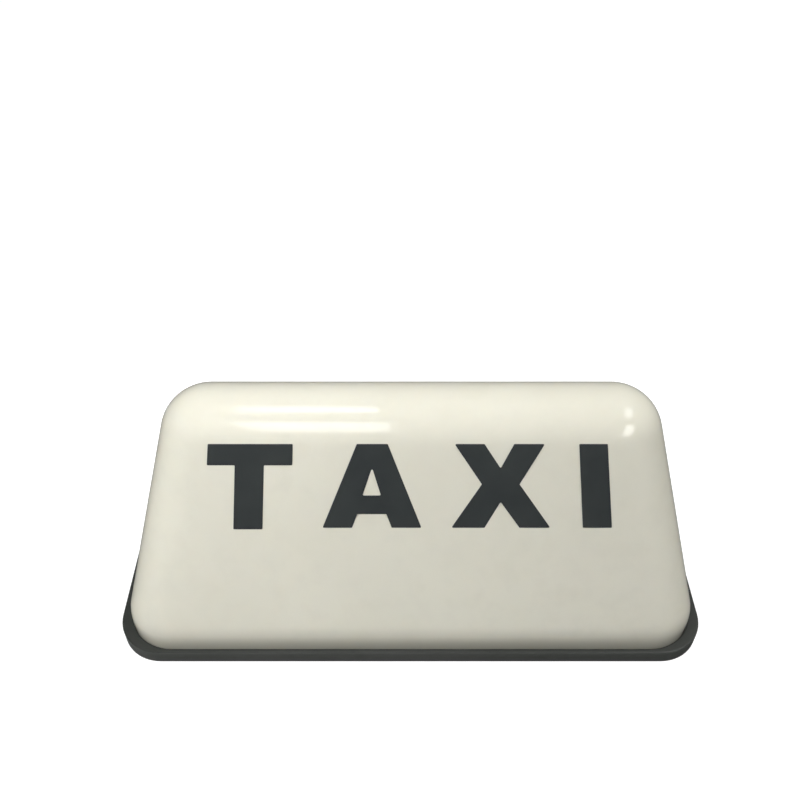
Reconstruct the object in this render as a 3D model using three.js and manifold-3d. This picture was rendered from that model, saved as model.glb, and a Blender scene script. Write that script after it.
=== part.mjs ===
// Taxi roof sign: an opal lamp dome with film letters on a black base tray, a strip of foam tape with its
// liner underneath, and a double-sided LED light bar with its driver board inside.
// Millimetres, +Z up, +X along the sign, +Y to the rear. The origin is the centre of the bottom.

import * as THREE from 'three';
import { ConvexGeometry } from 'three/addons/geometries/ConvexGeometry.js';
import { mergeVertices } from 'three/addons/utils/BufferGeometryUtils.js';
import Module from 'manifold-3d';

const wasm = await Module();
wasm.setup();

// ---- Driving dimensions ------------------------------------------------------------------------------

const LENGTH = 300;
const WIDTH = 142;
const HEIGHT = 120.7;

const GAP = 0.3;          // clearance where one piece slides into another or follows its surface
const SEAT = 0.05;        // clearance between flat faces that rest on each other

// Base tray
const RIM_BOTTOM = 0.4;
const RIM_TOP = 9;
const RIM_CORNER = 22.5;
const RIM_BEVEL = 0.8;
const RIM_BAND = 5.5;     // width of the flat band under the rim
const FLOOR_TOP = 4.8;
const CHANNEL_Z = 2.8;    // underside of the channel inside the rim band
const PLATEAU_Z = 1.35;   // underside of the raised flat centre
const PLATEAU_HALF = [137.5, 36.5];
const SLOPE_HALF = [141.5, 60];
const LIP_TOP = 13;
const LIP_THICKNESS = 1.8;
const HOLE = { x: 82, y: 36.5, radius: 4.3 };
const NOTCH = { y: 18, width: 7, top: 3.6 };

// Dome: the rim stands out further round its ends than along its long sides
const DOME_LENGTH = 290;
const DOME_WIDTH = 137;
const WALL = 2.2;
const DOME_BOTTOM = 6;
const SHOULDER_Z = 13.5;  // the upright skirt ends here and the shoulder curve begins
const SHOULDER_RADIUS = 24;
const RIDGE_RADIUS = 24.7;
const RIDGE_HALF = 98.5;  // half the straight length of the ridge

// Letters
const FILM = 0.4;
const CAP = 42.4;         // letter height along the sloping face
const FOOT = 53.25;       // distance from the shoulder's tangent line up the face to the letters' feet
const FAN = 0.042;        // the letters spread this much wider at the foot, as the dome does

// Tape
const TAPE = { x: 9.4, y: -6.8, length: 248, width: 35, foam: 1, liner: 0.25 };

// Light bar
const BRACKET = { half: 96, thickness: 1.5, top: 76, foot: 15, tab: 10 };
const BOARD = { half: 90, bottom: 44, top: 68, thickness: 1.6 };
const LEDS_PER_BOARD = 6;
const LED = { size: 5, height: 1.6, pitch: 29 };
const BOSS = { radius: 3.6, top: 9, x: 85, y: 10, stagger: 5.5 };
const SCREW = { head: 2.9, headHeight: 2, shank: 1.35, length: 6 };
const RIVET = { x: 58, radius: 1.6, head: 3, headHeight: 0.9 };

// Driver board
const DRIVER = { x: -38, y: 34, length: 46, width: 28, thickness: 1.6, screw: 18 };
const GROMMET = { x: -132, y: NOTCH.y, hole: 3.6, flange: 4.8, bore: 2.2 };
const WIRE_RADIUS = 0.8;

// ---- Materials ---------------------------------------------------------------------------------------

function finish(color, roughness, metalness = 0) {
  return new THREE.MeshStandardMaterial({ color, roughness, metalness });
}

const opal = finish(0xf1eee0, 0.15);
const letterFilm = finish(0x36393a, 0.5);
const blackPlastic = finish(0x33352f, 0.45);
const blackRubber = finish(0x1d1e1c, 0.8);
const greyFoam = finish(0x55534f, 0.95);
const redLiner = finish(0x8a1f22, 0.4);
const orangeSilicone = finish(0xd0621c, 0.6);
const aluminium = finish(0xb9bcbf, 0.35, 1);
const whiteBoard = finish(0xe8e9e6, 0.5);
const greenBoard = finish(0x1d5a38, 0.5);
const ledPhosphor = finish(0xe8d36a, 0.4);
const zinc = finish(0xc4c5c2, 0.3, 1);
const chipBlack = finish(0x17181a, 0.55);
const terminalBlue = finish(0x2f5fa8, 0.5);
const canSilver = finish(0xa9adb1, 0.3, 1);
const redWire = finish(0xa82020, 0.5);
const blackWire = finish(0x1a1a1a, 0.5);

// ---- Solids ------------------------------------------------------------------------------------------

function solidOf(geometry) {
  const bare = geometry.clone();
  bare.deleteAttribute('normal');
  bare.deleteAttribute('uv');
  const merged = mergeVertices(bare, 1e-4);
  const vertProperties = new Float32Array(merged.attributes.position.array);
  const triVerts = new Uint32Array(merged.index.array);
  return new wasm.Manifold(new wasm.Mesh({ numProp: 3, vertProperties, triVerts }));
}

function geometryOf(solid) {
  const mesh = solid.getMesh();
  const geometry = new THREE.BufferGeometry();
  geometry.setAttribute('position', new THREE.BufferAttribute(mesh.vertProperties, 3));
  geometry.setIndex(new THREE.BufferAttribute(mesh.triVerts, 1));
  return geometry;
}

function roundedRectangle(halfX, halfY, radius) {
  const shape = new THREE.Shape();
  shape.absarc(halfX - radius, halfY - radius, radius, 0, Math.PI / 2);
  shape.absarc(radius - halfX, halfY - radius, radius, Math.PI / 2, Math.PI);
  shape.absarc(radius - halfX, radius - halfY, radius, Math.PI, 1.5 * Math.PI);
  shape.absarc(halfX - radius, radius - halfY, radius, 1.5 * Math.PI, 2 * Math.PI);
  shape.closePath();
  return shape;
}

function rimOutline(inset) {
  return roundedRectangle(LENGTH / 2 - inset, WIDTH / 2 - inset, RIM_CORNER - inset);
}

// The dome's skirt seen from above, grown outwards
function skirtOutline(grow) {
  return roundedRectangle(DOME_LENGTH / 2 + grow, DOME_WIDTH / 2 + grow, SHOULDER_RADIUS + grow);
}

// A plate of that outline between two heights
function slab(shape, bottom, top, bevel = 0) {
  const geometry = new THREE.ExtrudeGeometry(shape, {
    depth: top - bottom - 2 * bevel,
    curveSegments: 4,
    bevelEnabled: bevel > 0,
    bevelThickness: bevel,
    bevelSize: bevel,
    bevelOffset: -bevel,
    bevelSegments: 2,
  });
  geometry.translate(0, 0, bottom + bevel);
  return solidOf(geometry);
}

function block(x0, x1, y0, y1, z0, z1) {
  const geometry = new THREE.BoxGeometry(x1 - x0, y1 - y0, z1 - z0);
  geometry.translate((x0 + x1) / 2, (y0 + y1) / 2, (z0 + z1) / 2);
  return solidOf(geometry);
}

function rod(radius, x, y, z0, z1, sides = 20) {
  const geometry = new THREE.CylinderGeometry(radius, radius, z1 - z0, sides);
  geometry.rotateX(Math.PI / 2);
  geometry.translate(x, y, (z0 + z1) / 2);
  return solidOf(geometry);
}

// A turned piece about its own upright axis, from [radius, height] pairs that start and end on the axis
function turned(profile, sides = 20) {
  const points = profile.map(([radius, height]) => new THREE.Vector2(radius, height));
  const geometry = new THREE.LatheGeometry(points, sides);
  geometry.rotateX(Math.PI / 2);
  return geometryOf(solidOf(geometry));
}

function subtractAll(solid, cutters) {
  return cutters.reduce((rest, cutter) => rest.subtract(cutter), solid);
}

function addAll(solid, pieces) {
  return pieces.reduce((sum, piece) => sum.add(piece), solid);
}

// ---- Assembly ----------------------------------------------------------------------------------------

const sign = new THREE.Group();

function addPiece(name, geometry, material, x = 0, y = 0, z = 0) {
  const mesh = new THREE.Mesh(geometry, material);
  mesh.name = name;
  mesh.position.set(x, y, z);
  sign.add(mesh);
  return mesh;
}

// ---- Dome --------------------------------------------------------------------------------------------

// The dome is the hull of four shoulder balls and two ridge balls over an upright skirt. Growing every
// radius by the same amount moves the whole surface outwards by that amount.
const SHOULDER_X = DOME_LENGTH / 2 - SHOULDER_RADIUS;
const SHOULDER_Y = DOME_WIDTH / 2 - SHOULDER_RADIUS;
const RIDGE_Z = HEIGHT - RIDGE_RADIUS;

// The tangent plane over a shoulder ball and a ridge ball that lies further in by run
function tangentFace(run) {
  const rise = RIDGE_Z - SHOULDER_Z;
  const span = Math.hypot(run, rise);
  const elevation = Math.atan2(run, rise) - Math.asin((RIDGE_RADIUS - SHOULDER_RADIUS) / span);
  return { elevation, length: Math.sqrt(span ** 2 - (RIDGE_RADIUS - SHOULDER_RADIUS) ** 2) };
}

const frontFace = tangentFace(SHOULDER_Y);
const endFace = tangentFace(SHOULDER_X - RIDGE_HALF);

function ballPoints(centre, radius, fromAzimuth, toAzimuth) {
  const quarter = Math.PI / 2;
  const elevations = [0, endFace.elevation / 2, endFace.elevation, frontFace.elevation];
  const stepsOver = 4;
  for (let step = 1; step <= stepsOver; step += 1) {
    elevations.push(frontFace.elevation + (quarter - frontFace.elevation) * (step / stepsOver));
  }
  const points = [];
  const turns = Math.round((toAzimuth - fromAzimuth) / (quarter / 6));
  for (const elevation of elevations) {
    for (let turn = 0; turn <= turns; turn += 1) {
      const azimuth = fromAzimuth + ((toAzimuth - fromAzimuth) * turn) / turns;
      points.push(new THREE.Vector3(
        centre.x + radius * Math.cos(elevation) * Math.cos(azimuth),
        centre.y + radius * Math.cos(elevation) * Math.sin(azimuth),
        centre.z + radius * Math.sin(elevation),
      ));
    }
  }
  return points;
}

function domeHull(grow, bottom) {
  const points = [];
  const quarter = Math.PI / 2;
  const corners = [[1, 1], [-1, 1], [-1, -1], [1, -1]];
  corners.forEach(([sideX, sideY], corner) => {
    const centre = new THREE.Vector3(sideX * SHOULDER_X, sideY * SHOULDER_Y, SHOULDER_Z);
    const shoulder = ballPoints(centre, SHOULDER_RADIUS + grow, corner * quarter, (corner + 1) * quarter);
    points.push(...shoulder);
    const skirt = shoulder.filter((point) => Math.abs(point.z - SHOULDER_Z) < 1e-6);
    points.push(...skirt.map((point) => new THREE.Vector3(point.x, point.y, bottom)));
  });
  for (const side of [1, -1]) {
    const centre = new THREE.Vector3(side * RIDGE_HALF, 0, RIDGE_Z);
    const start = side > 0 ? -quarter : quarter;
    points.push(...ballPoints(centre, RIDGE_RADIUS + grow, start, start + Math.PI));
  }
  return solidOf(new ConvexGeometry(points));
}

const domeSolid = domeHull(0, DOME_BOTTOM).subtract(domeHull(-WALL, DOME_BOTTOM - 5));
addPiece('dome', geometryOf(domeSolid), opal);

// ---- Letters -----------------------------------------------------------------------------------------

// Outlines in millimetres: x from the letter's middle, y up from its foot
const LETTERS = {
  t: {
    x: -75.9,
    outline: [
      [-19.7, CAP], [20.1, CAP], [20.1, 31.9], [6.9, 31.9],
      [7.1, -0.8], [-6.3, -0.8], [-6.7, 31.9], [-19.7, 31.9],
    ],
  },
  a: {
    x: -18.6,
    outline: [
      [-7.3, CAP], [7.2, CAP], [23.1, 0], [9.4, 0],
      [6.9, 7.1], [-6.6, 7.1], [-8.9, 0], [-22.5, 0],
    ],
    counter: [[0, 30.8], [-4.3, 16.6], [4.3, 16.6]],
  },
  x: {
    x: 40.7,
    outline: [
      [-20.8, CAP], [-6.8, CAP], [0.6, 30.3], [7.1, CAP], [21.4, CAP], [9.3, 22.3],
      [23.2, 0], [9, 0], [0.4, 13.4], [-7.1, 0], [-22.4, 0], [-8.2, 22.3],
    ],
  },
  i: {
    x: 84.9,
    outline: [[-6.7, CAP], [6.6, CAP], [7.4, 0], [-6, 0]],
  },
};

function letterShape({ x, outline, counter }) {
  const fan = ([dx, y]) => new THREE.Vector2((x + dx) * (1 + FAN * (1 - y / CAP)), FOOT + y);
  const shape = new THREE.Shape(outline.map(fan));
  if (counter) {
    shape.holes.push(new THREE.Path(counter.map(fan)));
  }
  return shape;
}

// From the face's own plane (x along the sign, y up the slope, z outwards) to the sign's frame
function frontFaceMatrix() {
  const cos = Math.cos(frontFace.elevation);
  const sin = Math.sin(frontFace.elevation);
  const matrix = new THREE.Matrix4().makeBasis(
    new THREE.Vector3(1, 0, 0),
    new THREE.Vector3(0, sin, cos),
    new THREE.Vector3(0, -cos, sin),
  );
  const foot = [0, -SHOULDER_Y - SHOULDER_RADIUS * cos, SHOULDER_Z + SHOULDER_RADIUS * sin];
  return matrix.setPosition(...foot);
}

const PRISM_DEPTH = 4;
const filmLayer = domeHull(GAP + FILM, DOME_BOTTOM).subtract(domeHull(GAP, DOME_BOTTOM - 1));
for (const [name, letter] of Object.entries(LETTERS)) {
  const depth = 2 * PRISM_DEPTH;
  const prism = new THREE.ExtrudeGeometry(letterShape(letter), { depth, bevelEnabled: false });
  prism.translate(0, 0, -PRISM_DEPTH);
  prism.applyMatrix4(frontFaceMatrix());
  const front = geometryOf(solidOf(prism).intersect(filmLayer));
  addPiece(`letter_${name}_front`, front, letterFilm);
  addPiece(`letter_${name}_rear`, front.clone(), letterFilm).rotation.z = Math.PI;
}

// ---- Base tray ---------------------------------------------------------------------------------------

const CLEAR = 1;          // how far a cutter runs past the face that it cuts

function holePlaces() {
  return [[-1, -1], [1, -1], [-1, 1], [1, 1]].map(([sideX, sideY]) => [sideX * HOLE.x, sideY * HOLE.y]);
}

// The bracket's feet are folded to the front and to the rear in turn, so its bosses are staggered
const bossPlaces = [[-1, -1], [-1, 1], [1, -1], [1, 1]]
  .map(([sideX, sideY]) => [sideX * (BOSS.x + sideY * BOSS.stagger), sideY * BOSS.y]);
const driverScrewPlaces = [-1, 1].map((side) => [DRIVER.x + side * DRIVER.screw, DRIVER.y]);

function baseTray() {
  const lipOutline = skirtOutline(-WALL - GAP);
  const rim = slab(rimOutline(0), RIM_BOTTOM, RIM_TOP, RIM_BEVEL);
  const lip = slab(lipOutline, FLOOR_TOP - CLEAR, LIP_TOP);
  const pocket = slab(skirtOutline(-WALL - GAP - LIP_THICKNESS), FLOOR_TOP, LIP_TOP + CLEAR);
  const groove = slab(skirtOutline(GAP), FLOOR_TOP, RIM_TOP + CLEAR)
    .subtract(slab(lipOutline, FLOOR_TOP - CLEAR, RIM_TOP + 2 * CLEAR));
  const shell = subtractAll(rim.add(lip), [pocket, groove]);

  const centre = new ConvexGeometry([-1, 1].flatMap((sideX) => [-1, 1].flatMap((sideY) => [
    new THREE.Vector3(sideX * PLATEAU_HALF[0], sideY * PLATEAU_HALF[1], PLATEAU_Z),
    new THREE.Vector3(sideX * SLOPE_HALF[0], sideY * SLOPE_HALF[1], CHANNEL_Z + 0.001),
  ])));
  const recess = slab(rimOutline(RIM_BAND), RIM_BOTTOM - CLEAR, CHANNEL_Z).subtract(solidOf(centre));
  const underside = shell.subtract(recess);

  const posts = [...bossPlaces, ...driverScrewPlaces]
    .map(([x, y]) => rod(BOSS.radius, x, y, FLOOR_TOP - CLEAR, BOSS.top));
  const pilots = [...bossPlaces, ...driverScrewPlaces]
    .map(([x, y]) => rod(SCREW.shank + GAP, x, y, FLOOR_TOP - CLEAR, BOSS.top + CLEAR, 12));
  const holes = holePlaces().map(([x, y]) => rod(HOLE.radius, x, y, 0, FLOOR_TOP + CLEAR, 24));
  const cableHole = rod(GROMMET.hole + GAP, GROMMET.x, GROMMET.y, 0, FLOOR_TOP + CLEAR, 20);
  const notch = block(-LENGTH / 2 - CLEAR, RIM_BAND + CLEAR - LENGTH / 2,
    NOTCH.y - NOTCH.width / 2, NOTCH.y + NOTCH.width / 2, RIM_BOTTOM - CLEAR, NOTCH.top);
  return subtractAll(addAll(underside, posts), [...pilots, ...holes, cableHole, notch]);
}

addPiece('base_tray', geometryOf(baseTray()), blackPlastic);

const gasket = slab(skirtOutline(0), FLOOR_TOP + SEAT, DOME_BOTTOM - SEAT)
  .subtract(slab(skirtOutline(-WALL), FLOOR_TOP - CLEAR, DOME_BOTTOM + CLEAR));
addPiece('dome_gasket', geometryOf(gasket), blackRubber);

// ---- Blanking plugs and cable grommet ----------------------------------------------------------------

const PLUG_FACE = 2.4;    // the plugs' lower faces stand back from the tray's underside
const PLUG_HEAD = { radius: 6.5, height: 1.5 };
const plugGeometry = turned([
  [0, PLUG_FACE],
  [HOLE.radius - GAP, PLUG_FACE],
  [HOLE.radius - GAP, FLOOR_TOP + SEAT],
  [PLUG_HEAD.radius, FLOOR_TOP + SEAT],
  [PLUG_HEAD.radius, FLOOR_TOP + SEAT + PLUG_HEAD.height],
  [0, FLOOR_TOP + SEAT + PLUG_HEAD.height],
], 24);
holePlaces().forEach(([x, y], index) => {
  addPiece(`hole_plug_${index + 1}`, plugGeometry.clone(), orangeSilicone, x, y);
});

const grommetSpan = { bottom: CHANNEL_Z - 1.4, top: FLOOR_TOP + 1.4 };
const grommetGeometry = turned([
  [GROMMET.bore, grommetSpan.bottom],
  [GROMMET.hole, grommetSpan.bottom],
  [GROMMET.hole, FLOOR_TOP + SEAT],
  [GROMMET.flange, FLOOR_TOP + SEAT],
  [GROMMET.flange, grommetSpan.top],
  [GROMMET.bore, grommetSpan.top],
  [GROMMET.bore, grommetSpan.bottom],
]);
addPiece('cable_grommet', grommetGeometry, blackRubber, GROMMET.x, GROMMET.y);

// ---- Tape --------------------------------------------------------------------------------------------

// Cut by hand: both ends are a little out of square and one corner is clipped
function tapeGeometry(bottom, top) {
  const halfLength = TAPE.length / 2;
  const halfWidth = TAPE.width / 2;
  const outline = [
    [-halfLength, halfWidth], [halfLength, halfWidth], [halfLength - 3, -halfWidth + 9],
    [halfLength - 6.5, -halfWidth], [-halfLength + 2.5, -halfWidth],
  ];
  const shape = new THREE.Shape(outline.map(([x, y]) => new THREE.Vector2(x, y)));
  const geometry = new THREE.ExtrudeGeometry(shape, { depth: top - bottom, bevelEnabled: false });
  geometry.translate(TAPE.x, TAPE.y, bottom);
  return geometry;
}

addPiece('tape_liner', tapeGeometry(0, TAPE.liner), redLiner);
addPiece('foam_tape', tapeGeometry(TAPE.liner + SEAT, TAPE.liner + SEAT + TAPE.foam), greyFoam);

// ---- Light bar ---------------------------------------------------------------------------------------

const FOOT_BOTTOM = BOSS.top + SEAT;
const FOOT_TOP = FOOT_BOTTOM + BRACKET.thickness;
const WEB = BRACKET.thickness / 2;
const BOARD_OUT = WEB + SEAT + BOARD.thickness;   // from the middle plane to a board's outer face

function crossRod(radius, x, z, y0, y1, sides = 16) {
  const geometry = new THREE.CylinderGeometry(radius, radius, y1 - y0, sides);
  geometry.translate(x, (y0 + y1) / 2, z);
  return solidOf(geometry);
}

const boardMiddle = (BOARD.bottom + BOARD.top) / 2;
const rivetHoles = [-1, 1].map((side) => crossRod(RIVET.radius + GAP, side * RIVET.x, boardMiddle, -9, 9));

function ledBracket() {
  const web = block(-BRACKET.half, BRACKET.half, -WEB, WEB, FOOT_BOTTOM, BRACKET.top);
  const feet = bossPlaces.map(([x, y]) => {
    const reach = Math.sign(y) * BRACKET.foot;
    return block(x - BRACKET.tab / 2, x + BRACKET.tab / 2, Math.min(0, reach), Math.max(0, reach),
      FOOT_BOTTOM, FOOT_TOP);
  });
  const screwHoles = bossPlaces
    .map(([x, y]) => rod(SCREW.shank + GAP, x, y, FOOT_BOTTOM - CLEAR, FOOT_TOP + CLEAR, 12));
  const windows = [-45, 0, 45].map((x) => block(x - 15, x + 15, -WEB - CLEAR, WEB + CLEAR, 18, 36));
  return subtractAll(addAll(web, feet), [...screwHoles, ...rivetHoles, ...windows]);
}

addPiece('led_bracket', geometryOf(ledBracket()), aluminium);

// One lead pair reaches each board at its left end
const PADS = { x: -BOARD.half + 6, red: BOARD.top - 6, black: BOARD.bottom + 6 };

for (const [face, side] of [['front', -1], ['rear', 1]]) {
  const near = Math.min(side * (WEB + SEAT), side * BOARD_OUT);
  const board = block(-BOARD.half, BOARD.half, near, near + BOARD.thickness, BOARD.bottom, BOARD.top);
  addPiece(`led_board_${face}`, geometryOf(subtractAll(board, rivetHoles)), whiteBoard);
  for (let index = 0; index < LEDS_PER_BOARD; index += 1) {
    const x = (index - (LEDS_PER_BOARD - 1) / 2) * LED.pitch;
    const package5050 = new THREE.CylinderGeometry(LED.size * 0.62, LED.size * Math.SQRT1_2, LED.height, 4);
    package5050.rotateY(Math.PI / 4);
    package5050.rotateX(side < 0 ? Math.PI : 0);
    const y = side * (BOARD_OUT + SEAT + LED.height / 2);
    addPiece(`led_${face}_${index + 1}`, package5050, ledPhosphor, x, y, boardMiddle);
  }
}

const rivetReach = BOARD_OUT + SEAT;
const rivetGeometry = turned([
  [0, -rivetReach - RIVET.headHeight],
  [RIVET.head * 0.8, -rivetReach - RIVET.headHeight],
  [RIVET.head, -rivetReach],
  [RIVET.radius, -rivetReach],
  [RIVET.radius, rivetReach],
  [RIVET.head, rivetReach],
  [RIVET.head * 0.8, rivetReach + RIVET.headHeight],
  [0, rivetReach + RIVET.headHeight],
], 16);
[-1, 1].forEach((side, index) => {
  const rivet = addPiece(`board_rivet_${index + 1}`, rivetGeometry.clone(), aluminium);
  rivet.position.set(side * RIVET.x, 0, boardMiddle);
  rivet.rotation.x = Math.PI / 2;
});

// ---- Screws ------------------------------------------------------------------------------------------

// A pan-head screw whose head rests at height 0 and whose shank points down, with a cross recess
function screwGeometry(length) {
  const body = solidOf(turned([
    [0, -length],
    [SCREW.shank * 0.5, -length],
    [SCREW.shank, -length + 1.5],
    [SCREW.shank, 0],
    [SCREW.head, 0],
    [SCREW.head, SCREW.headHeight * 0.55],
    [SCREW.head * 0.7, SCREW.headHeight],
    [0, SCREW.headHeight],
  ], 20));
  const slot = { half: 1.5, thin: 0.3, depth: 1 };
  const top = SCREW.headHeight;
  const across = block(-slot.half, slot.half, -slot.thin, slot.thin, top - slot.depth, top + CLEAR);
  const along = block(-slot.thin, slot.thin, -slot.half, slot.half, top - slot.depth, top + CLEAR);
  return geometryOf(subtractAll(body, [across, along]));
}

const screw = screwGeometry(SCREW.length - 1);
bossPlaces.forEach(([x, y], index) => {
  addPiece(`bracket_screw_${index + 1}`, screw.clone(), zinc, x, y, FOOT_TOP + SEAT);
});

// ---- Driver board ------------------------------------------------------------------------------------

const DRIVER_BOTTOM = BOSS.top + SEAT;
const DRIVER_TOP = DRIVER_BOTTOM + DRIVER.thickness;

const driverHoles = driverScrewPlaces
  .map(([x, y]) => rod(SCREW.shank + GAP, x, y, DRIVER_BOTTOM - CLEAR, DRIVER_TOP + CLEAR, 12));
const driverPlate = block(DRIVER.x - DRIVER.length / 2, DRIVER.x + DRIVER.length / 2,
  DRIVER.y - DRIVER.width / 2, DRIVER.y + DRIVER.width / 2, DRIVER_BOTTOM, DRIVER_TOP);
addPiece('driver_board', geometryOf(subtractAll(driverPlate, driverHoles)), greenBoard);
driverScrewPlaces.forEach(([x, y], index) => {
  addPiece(`driver_screw_${index + 1}`, screw.clone(), zinc, x, y, DRIVER_TOP + SEAT);
});

const PART_BASE = DRIVER_TOP + SEAT;
const regulator = block(-5, 5, -3.5, 3.5, 0, 4.5);
addPiece('driver_regulator', geometryOf(regulator), chipBlack, DRIVER.x + 3, DRIVER.y - 8.5, PART_BASE);
const capacitor = turned([[0, 0], [3.2, 0], [3.2, 7], [2.6, 7.6], [0, 7.6]]);
addPiece('driver_capacitor', capacitor, canSilver, DRIVER.x + 4, DRIVER.y + 7.5, PART_BASE);

// Two-pole terminal block: wire entries face the grommet, screw wells open upwards
const TERMINAL = { x: DRIVER.x - 18, y: DRIVER.y - 9, halfX: 4, halfY: 4.8, height: 9, pole: 2.5 };

function terminalBlock() {
  const body = block(-TERMINAL.halfX, TERMINAL.halfX, -TERMINAL.halfY, TERMINAL.halfY, 0, TERMINAL.height);
  const cuts = [-TERMINAL.pole, TERMINAL.pole].flatMap((y) => [
    rod(1.5, 0, y, TERMINAL.height - 2.5, TERMINAL.height + CLEAR, 12),
    block(-TERMINAL.halfX - CLEAR, -1, y - 1.3, y + 1.3, 1.5, 4.5),
  ]);
  return geometryOf(subtractAll(body, cuts));
}

addPiece('terminal_block', terminalBlock(), terminalBlue, TERMINAL.x, TERMINAL.y, PART_BASE);

// ---- Inner leads -------------------------------------------------------------------------------------

function wire(route, steps) {
  const points = route.map(([x, y, z]) => new THREE.Vector3(x, y, z));
  const path = new THREE.CatmullRomCurve3(points, false, 'centripetal');
  const section = new THREE.Shape().absarc(0, 0, WIRE_RADIUS, 0, 2 * Math.PI);
  const options = { steps, curveSegments: 4, extrudePath: path };
  return geometryOf(solidOf(new THREE.ExtrudeGeometry(section, options)));
}

const REAR_FACE = BOARD_OUT + GAP;
const leadStart = DRIVER.x - DRIVER.length / 2 + 4;

function leadRoute(padZ, startY) {
  return [
    [leadStart, startY, PART_BASE + GAP],
    [leadStart, startY, PART_BASE + 6],
    [leadStart - 9, startY - 8, PART_BASE + 17],
    [PADS.x, REAR_FACE + 14, padZ - 8],
    [PADS.x, REAR_FACE + 6, padZ],
    [PADS.x, REAR_FACE, padZ],
  ];
}

addPiece('lead_red', wire(leadRoute(PADS.red, DRIVER.y + 10), 30), redWire);
addPiece('lead_black', wire(leadRoute(PADS.black, DRIVER.y + 6), 26), blackWire);

// From one board to the other round the end of the bracket
function linkRoute(z) {
  const padX = PADS.x - 3.4;
  const out = -BRACKET.half - 3.5;
  return [
    [padX, REAR_FACE, z], [padX, REAR_FACE + 3, z], [out + 3, REAR_FACE + 4, z], [out, 0, z],
    [out + 3, -REAR_FACE - 4, z], [padX, -REAR_FACE - 3, z], [padX, -REAR_FACE, z],
  ];
}

addPiece('link_red', wire(linkRoute(PADS.red), 24), redWire);
addPiece('link_black', wire(linkRoute(PADS.black), 24), blackWire);

export default sign;
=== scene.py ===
"""Looks for a taxi roof sign: an opal dome with film letters on a black tray, with tape underneath and a
light bar inside.

Lengths are in millimetres and are turned into metres where a mesh is made. The camera and the lights are
placed in metres.
"""

import math

import bmesh
import bpy
from mathutils import Matrix, Vector, geometry, noise


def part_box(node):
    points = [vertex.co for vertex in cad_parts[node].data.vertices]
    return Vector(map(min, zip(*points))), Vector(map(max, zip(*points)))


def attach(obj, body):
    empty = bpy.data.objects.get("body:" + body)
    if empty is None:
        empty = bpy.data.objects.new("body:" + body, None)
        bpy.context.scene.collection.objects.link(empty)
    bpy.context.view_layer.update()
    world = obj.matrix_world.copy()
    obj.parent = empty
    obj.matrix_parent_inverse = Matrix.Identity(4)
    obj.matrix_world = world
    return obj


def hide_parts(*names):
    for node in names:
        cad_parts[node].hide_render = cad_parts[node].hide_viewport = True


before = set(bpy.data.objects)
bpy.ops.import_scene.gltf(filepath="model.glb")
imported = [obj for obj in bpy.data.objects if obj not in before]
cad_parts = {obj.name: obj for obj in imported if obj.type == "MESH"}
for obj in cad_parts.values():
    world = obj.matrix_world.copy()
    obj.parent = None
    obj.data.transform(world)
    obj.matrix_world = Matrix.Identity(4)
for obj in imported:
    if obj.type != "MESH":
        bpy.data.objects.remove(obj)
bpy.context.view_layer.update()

MM = 0.001
QUARTER = math.pi / 2


def node_box(name):
    """A CAD node's lowest and highest corners, in millimetres."""
    low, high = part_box(name)
    return Vector(low) / MM, Vector(high) / MM


# ---- Dimensions, from the frame where it has them ------------------------------------------------------

TRAY_LOW, TRAY_HIGH = node_box("base_tray")
DOME_LOW, DOME_HIGH = node_box("dome")
GASKET_LOW, GASKET_HIGH = node_box("dome_gasket")
HALF_LENGTH = TRAY_HIGH.x
HALF_WIDTH = TRAY_HIGH.y
SKIRT_X = DOME_HIGH.x
SKIRT_Y = DOME_HIGH.y

SHOULDER_RADIUS = 24.0
SHOULDER_Z = 13.5
RIDGE_RADIUS = 24.7
RIDGE_HALF = 98.5
RIDGE_Z = DOME_HIGH.z - RIDGE_RADIUS
WALL = 2.2
RIM_CORNER = 22.5
RIM_X = HALF_LENGTH - RIM_CORNER
RIM_Y = HALF_WIDTH - RIM_CORNER
SHOULDER_X = SKIRT_X - SHOULDER_RADIUS
SHOULDER_Y = SKIRT_Y - SHOULDER_RADIUS

GAP = 0.3
SEAT = 0.05
RIM_BOTTOM = TRAY_LOW.z
RIM_TOP = 9.0
RIM_BAND = 5.5
FLOOR_TOP = 4.8
CHANNEL_Z = 2.8
PLATEAU_Z = 1.35
PLATEAU_HALF = (137.5, 36.5)
SLOPE_HALF = (141.5, 60.0)
LIP_TOP = TRAY_HIGH.z
LIP_THICKNESS = 1.8

CORNERS = ((1, 1), (-1, 1), (-1, -1), (1, -1))


# ---- Node materials ------------------------------------------------------------------------------------


def srgb(red, green, blue):
    """A colour from the usual 0 to 255 numbers."""
    def linear(value):
        value /= 255
        return value / 12.92 if value <= 0.04045 else ((value + 0.055) / 1.055) ** 2.4

    return (linear(red), linear(green), linear(blue), 1.0)


def set_inputs(node, values):
    """Sets a shader node's inputs. An underscore in a name stands for a space."""
    for socket, value in values.items():
        node.inputs[socket.replace("_", " ")].default_value = value


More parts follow.
